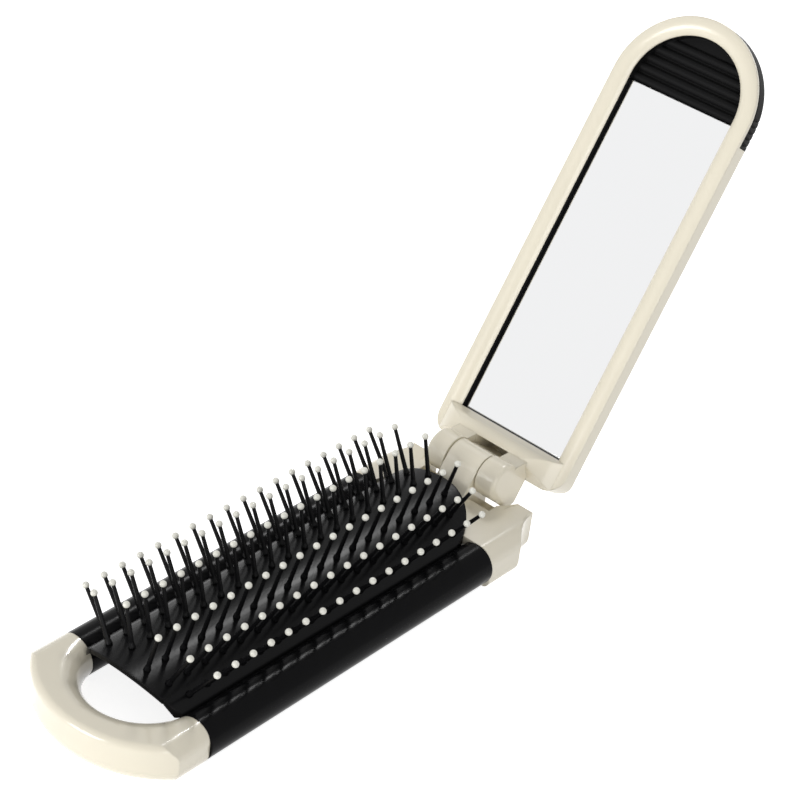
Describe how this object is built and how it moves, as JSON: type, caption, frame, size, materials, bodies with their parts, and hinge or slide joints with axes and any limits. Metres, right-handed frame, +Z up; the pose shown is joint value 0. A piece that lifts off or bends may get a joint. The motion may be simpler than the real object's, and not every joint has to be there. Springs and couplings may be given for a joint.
{
  "type": "folding hairbrush with mirror",
  "caption": "Pocket hairbrush with rows of ball-tipped pins on a domed bed, and a mirror half that folds over it on a knuckle hinge, with a ribbed thumb slide.",
  "frame": {"origin": "on the flat underside of the brush half, straight below the hinge axis", "axes": "+Z up from the underside; the brush half runs along -X from the hinge; +Y along the hinge axis, to the left seen from the bow towards the hinge"},
  "size_m": [0.1545, 0.0344, 0.0827],
  "materials": {
    "cream_plastic": "gloss",
    "black_plastic": "satin",
    "tip_plastic": "gloss",
    "mirror_glass": "polished",
    "pin_steel": "ground",
    "foam": "matte"
  },
  "bodies": {
    "brush_half": {"end_bow": "cream_plastic", "left_rail": "black_plastic", "right_rail": "black_plastic", "bristle_bed": "black_plastic", "pins_row_1": "black_plastic", "pins_row_2": "black_plastic", "pins_row_3": "black_plastic", "pins_row_4": "black_plastic", "pins_row_5": "black_plastic", "pins_row_6": "black_plastic", "tips_row_1": "tip_plastic", "tips_row_2": "tip_plastic", "tips_row_3": "tip_plastic", "tips_row_4": "tip_plastic", "tips_row_5": "tip_plastic", "tips_row_6": "tip_plastic", "hinge_block": "cream_plastic", "hinge_pin": "pin_steel"},
    "mirror_half": {"pin_plug": "cream_plastic", "mirror_frame": "cream_plastic", "mirror_tray": "black_plastic", "mirror_glass": "mirror_glass", "glue_pad": "foam", "back_cover": "cream_plastic"},
    "thumb_slide": {"end_slide": "black_plastic", "brake_bar": "cream_plastic"}
  },
  "joints": [
    {"name": "fold", "type": "hinge", "parent": "brush_half", "child": "mirror_half", "pos_m": [0, 0, 0.0112], "axis": [0, -1, 0], "range_deg": [-57.2, 121.7]},
    {"name": "slide", "type": "slide", "parent": "mirror_half", "child": "thumb_slide", "axis": [0.5417, 0, 0.8406], "range_m": [0, 0.0012]}
  ]
}
